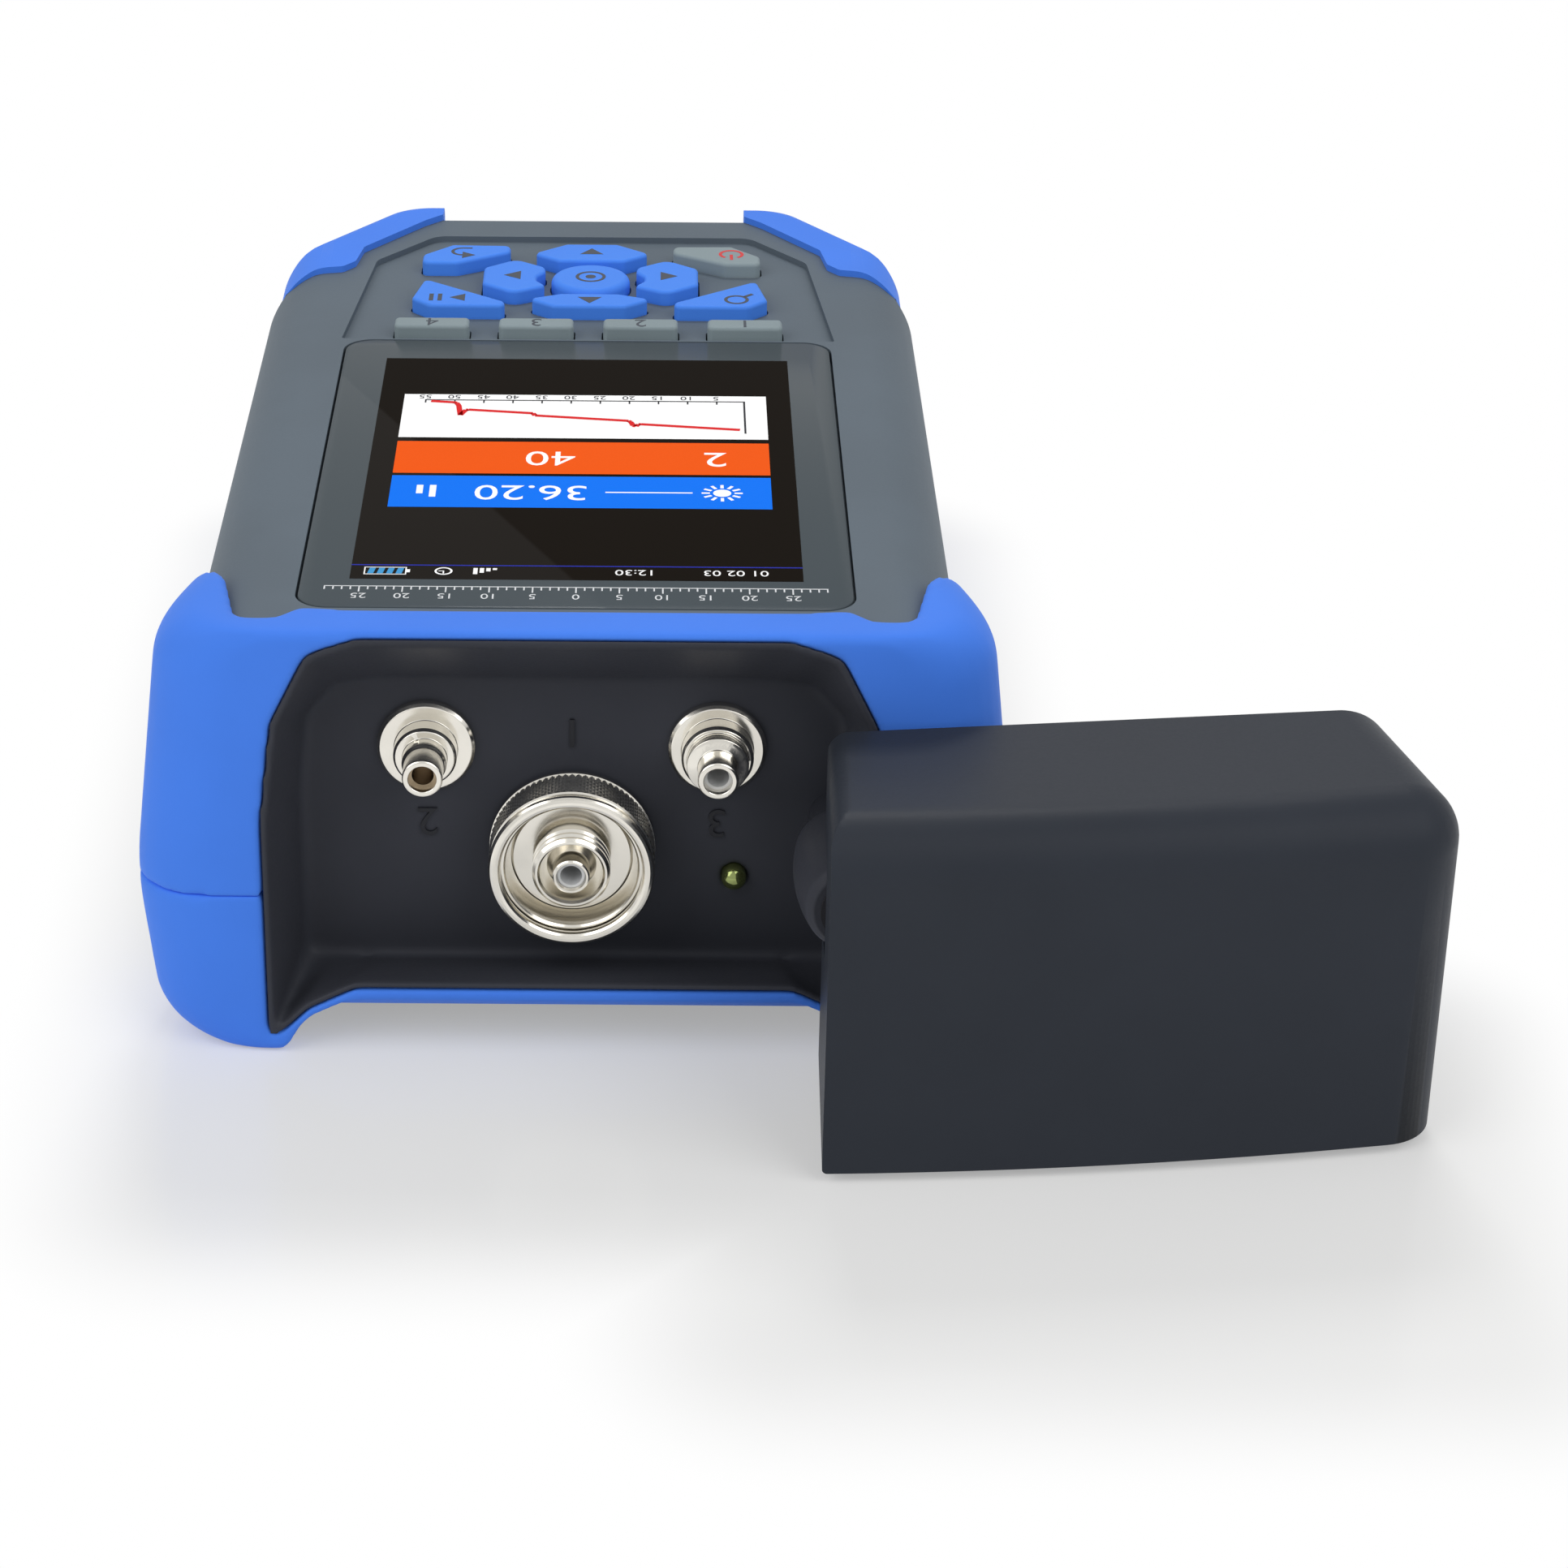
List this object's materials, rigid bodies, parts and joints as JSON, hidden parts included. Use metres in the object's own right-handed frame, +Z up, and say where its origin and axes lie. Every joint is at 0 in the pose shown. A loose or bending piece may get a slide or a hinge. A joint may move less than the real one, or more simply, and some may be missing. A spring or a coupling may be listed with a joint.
{
  "type": "optical time domain reflectometer",
  "caption": "Handheld fibre test instrument with a display, a keypad, rubber corners, a recessed optical port bay and a swivelling port cover.",
  "frame": {"origin": "centre of the battery door's outer face, in the plane that the instrument rests on", "axes": "+X across the instrument, +Y from the port end to the base end, +Z up through the screen; the port end is the top for a user who reads the screen"},
  "size_m": [0.1496, 0.1748, 0.0552],
  "materials": {
    "grey_case": "dark slate grey fine-grained moulded plastic",
    "blue_rubber": "saturated blue soft overmoulded elastomer",
    "black_moulding": "black fine-textured moulding",
    "cover_plastic": "dark slate satin moulding",
    "nickel": "turned brass with bright nickel plating",
    "ceramic": "white ground zirconia",
    "lamp_green": "clear green-tinted lens",
    "window_glass": "hard-coated clear pane",
    "display_black": "display with its bezel",
    "foam": "thin black foam",
    "steel": "zinc-plated steel",
    "washer_nylon": "white nylon",
    "key_blue": "saturated blue silicone cap",
    "key_grey": "grey silicone cap with a faint green cast",
    "silicone": "translucent silicone sheet",
    "board_green": "glass-epoxy board with green resist",
    "module_aluminium": "machined housing",
    "fibre_yellow": "yellow jacketed fibre",
    "black_parts": "black moulded component",
    "battery_wrap": "shrink-wrapped cells"
  },
  "bodies": {
    "instrument": {"base_bumper_left": "blue_rubber", "base_bumper_right": "blue_rubber", "battery_connector": "black_parts", "battery_door": "grey_case", "battery_pack": "battery_wrap", "buzzer": "black_parts", "case_screws": "steel", "cover_boss": "cover_plastic", "cover_pin": "steel", "cover_washer": "washer_nylon", "display_frame": "steel", "display_gasket": "foam", "display_module": "display_black", "display_screws": "steel", "display_window": "window_glass", "door_screws": "steel", "fibre_coil": "fibre_yellow", "fibre_pigtails": "fibre_yellow", "front_shell": "grey_case", "indicator_lamp": "lamp_green", "keypad_board": "board_green", "keypad_mat": "silicone", "keypad_screws": "steel", "locator_port": "nickel", "locator_port_sleeve": "ceramic", "main_board": "board_green", "main_port_barrel": "nickel", "main_port_body": "nickel", "main_port_nut": "nickel", "main_port_sleeve": "ceramic", "meter_port": "nickel", "meter_port_sleeve": "ceramic", "optical_module": "module_aluminium", "port_bumper_lower": "blue_rubber", "port_bumper_upper": "blue_rubber", "port_frame": "black_moulding", "processor_shield": "steel", "rear_shell": "grey_case", "side_port_nuts": "nickel"},
    "port_cover": {"port_cover": "cover_plastic"},
    "main_port_collar": {"main_port_collar": "nickel"},
    "key_1": {"key_1": "key_grey"},
    "key_2": {"key_2": "key_grey"},
    "key_3": {"key_3": "key_grey"},
    "key_4": {"key_4": "key_grey"},
    "key_back": {"key_back": "key_blue"},
    "key_down": {"key_down": "key_blue"},
    "key_left": {"key_left": "key_blue"},
    "key_ok": {"key_ok": "key_blue"},
    "key_play": {"key_play": "key_blue"},
    "key_power": {"key_power": "key_grey"},
    "key_right": {"key_right": "key_blue"},
    "key_up": {"key_up": "key_blue"},
    "key_zoom": {"key_zoom": "key_blue"}
  },
  "joints": [
    {"name": "cover_swivel", "type": "hinge", "parent": "instrument", "child": "port_cover", "pos_m": [0.0314, -0.0744, 0.0265], "axis": [0.0576, -0.9983, 0], "range_deg": [0, 180]},
    {"name": "collar_turn", "type": "hinge", "parent": "instrument", "child": "main_port_collar", "pos_m": [-0.0004, -0.065, 0.0229], "axis": [0, -1, 0], "continuous": true},
    {"name": "key_1_press", "type": "slide", "parent": "instrument", "child": "key_1", "axis": [0, 0, -1], "range_m": [0, 0.0008], "stiffness_N_per_m": 1000},
    {"name": "key_2_press", "type": "slide", "parent": "instrument", "child": "key_2", "axis": [0, 0, -1], "range_m": [0, 0.0008], "stiffness_N_per_m": 1000},
    {"name": "key_3_press", "type": "slide", "parent": "instrument", "child": "key_3", "axis": [0, 0, -1], "range_m": [0, 0.0008], "stiffness_N_per_m": 1000},
    {"name": "key_4_press", "type": "slide", "parent": "instrument", "child": "key_4", "axis": [0, 0, -1], "range_m": [0, 0.0008], "stiffness_N_per_m": 1000},
    {"name": "key_back_press", "type": "slide", "parent": "instrument", "child": "key_back", "axis": [0, 0, -1], "range_m": [0, 0.0008], "stiffness_N_per_m": 1000},
    {"name": "key_down_press", "type": "slide", "parent": "instrument", "child": "key_down", "axis": [0, 0, -1], "range_m": [0, 0.0008], "stiffness_N_per_m": 1000},
    {"name": "key_left_press", "type": "slide", "parent": "instrument", "child": "key_left", "axis": [0, 0, -1], "range_m": [0, 0.0008], "stiffness_N_per_m": 1000},
    {"name": "key_ok_press", "type": "slide", "parent": "instrument", "child": "key_ok", "axis": [0, 0, -1], "range_m": [0, 0.0008], "stiffness_N_per_m": 1000},
    {"name": "key_play_press", "type": "slide", "parent": "instrument", "child": "key_play", "axis": [0, 0, -1], "range_m": [0, 0.0008], "stiffness_N_per_m": 1000},
    {"name": "key_power_press", "type": "slide", "parent": "instrument", "child": "key_power", "axis": [0, 0, -1], "range_m": [0, 0.0008], "stiffness_N_per_m": 1000},
    {"name": "key_right_press", "type": "slide", "parent": "instrument", "child": "key_right", "axis": [0, 0, -1], "range_m": [0, 0.0008], "stiffness_N_per_m": 1000},
    {"name": "key_up_press", "type": "slide", "parent": "instrument", "child": "key_up", "axis": [0, 0, -1], "range_m": [0, 0.0008], "stiffness_N_per_m": 1000},
    {"name": "key_zoom_press", "type": "slide", "parent": "instrument", "child": "key_zoom", "axis": [0, 0, -1], "range_m": [0, 0.0008], "stiffness_N_per_m": 1000}
  ]
}
